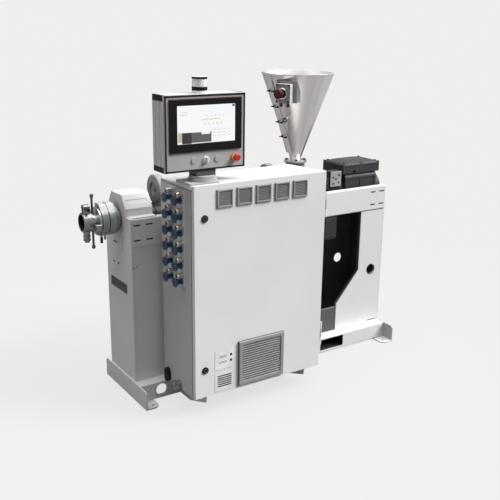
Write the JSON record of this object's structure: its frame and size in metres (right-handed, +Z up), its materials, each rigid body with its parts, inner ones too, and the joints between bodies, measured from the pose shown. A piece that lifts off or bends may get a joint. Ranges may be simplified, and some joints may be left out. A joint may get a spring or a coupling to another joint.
{
  "type": "plastic extruder",
  "caption": "Single screw plastic extruder on a steel frame with hopper, geared drive, hinged control cabinet and swivelling operator panel.",
  "frame": {"origin": "on the floor under the left foot plate, half way between its ends", "axes": "+X along the screw from the outlet to the drive, +Y from the cabinet door to the back, +Z up"},
  "size_m": [2.12, 0.825, 1.864],
  "materials": {
    "band_metal": "satin",
    "beacon_clear": "gloss",
    "black_paint": "satin",
    "black_plastic": "matte",
    "connector_blue": "matte",
    "drive_grey": "satin",
    "galvanised": "brushed",
    "grey_paint": "satin",
    "knob_white": "matte",
    "motor_paint": "satin",
    "panel_metal": "satin",
    "polished_steel": "polished",
    "screen_glass": "gloss",
    "steel": "brushed",
    "stop_red": "gloss",
    "vent_plastic": "matte",
    "white_paint": "satin"
  },
  "bodies": {
    "machine": {"barrel": "steel", "barrel_collar": "black_paint", "barrel_cover": "white_paint", "barrel_jacket": "steel", "bay_back_panel": "black_paint", "cabinet_roof": "white_paint", "cabinet_shell": "grey_paint", "column_end_plate": "grey_paint", "drive_deck": "grey_paint", "drive_motor": "motor_paint", "feed_housing": "drive_grey", "front_base_rail": "grey_paint", "front_blower": "drive_grey", "front_connector_column": "connector_blue", "front_top_beam": "white_paint", "gearbox": "drive_grey", "hopper": "steel", "inner_heater_band": "band_metal", "junction_box": "grey_paint", "left_cabinet_gusset": "grey_paint", "left_foot_plate": "grey_paint", "left_fork_tube": "grey_paint", "left_pedestal": "grey_paint", "level_sensor_box": "black_plastic", "level_sensor_bracket": "steel", "lower_swing_bolt": "polished_steel", "melt_sensor": "steel", "motor_terminal_box": "motor_paint", "mounting_plate": "galvanised", "outer_heater_band": "band_metal", "outlet_clamp": "polished_steel", "rear_base_rail": "grey_paint", "rear_blower": "drive_grey", "rear_connector_column": "connector_blue", "rear_top_beam": "white_paint", "right_cabinet_gusset": "grey_paint", "right_foot_plate": "grey_paint", "right_fork_tube": "grey_paint", "right_leg_panel": "white_paint", "right_side_panel": "white_paint", "side_cable_gland": "black_plastic", "side_drain_valve": "steel", "swivel_base": "black_plastic", "upper_swing_bolt": "polished_steel"},
    "door": {"cabinet_door": "white_paint", "vent_grilles": "vent_plastic", "louvre_grille": "vent_plastic", "upper_lock": "black_plastic", "lower_lock": "black_plastic"},
    "panel": {"swivel_neck": "black_plastic", "panel_case": "panel_metal", "panel_corner_caps": "black_plastic", "panel_front_plate": "panel_metal", "screen_bezel": "screen_glass", "emergency_stop": "stop_red", "selector_knob": "knob_white", "signal_beacon": "beacon_clear"}
  },
  "joints": [
    {"name": "door_hinge", "type": "hinge", "parent": "machine", "child": "door", "pos_m": [1.009, -0.514, 0.7], "axis": [0, 0, 1], "range_deg": [0, 115]},
    {"name": "panel_swivel", "type": "hinge", "parent": "machine", "child": "panel", "pos_m": [0.25, -0.415, 1.36], "axis": [0, 0, 1], "range_deg": [-90, 90]}
  ]
}
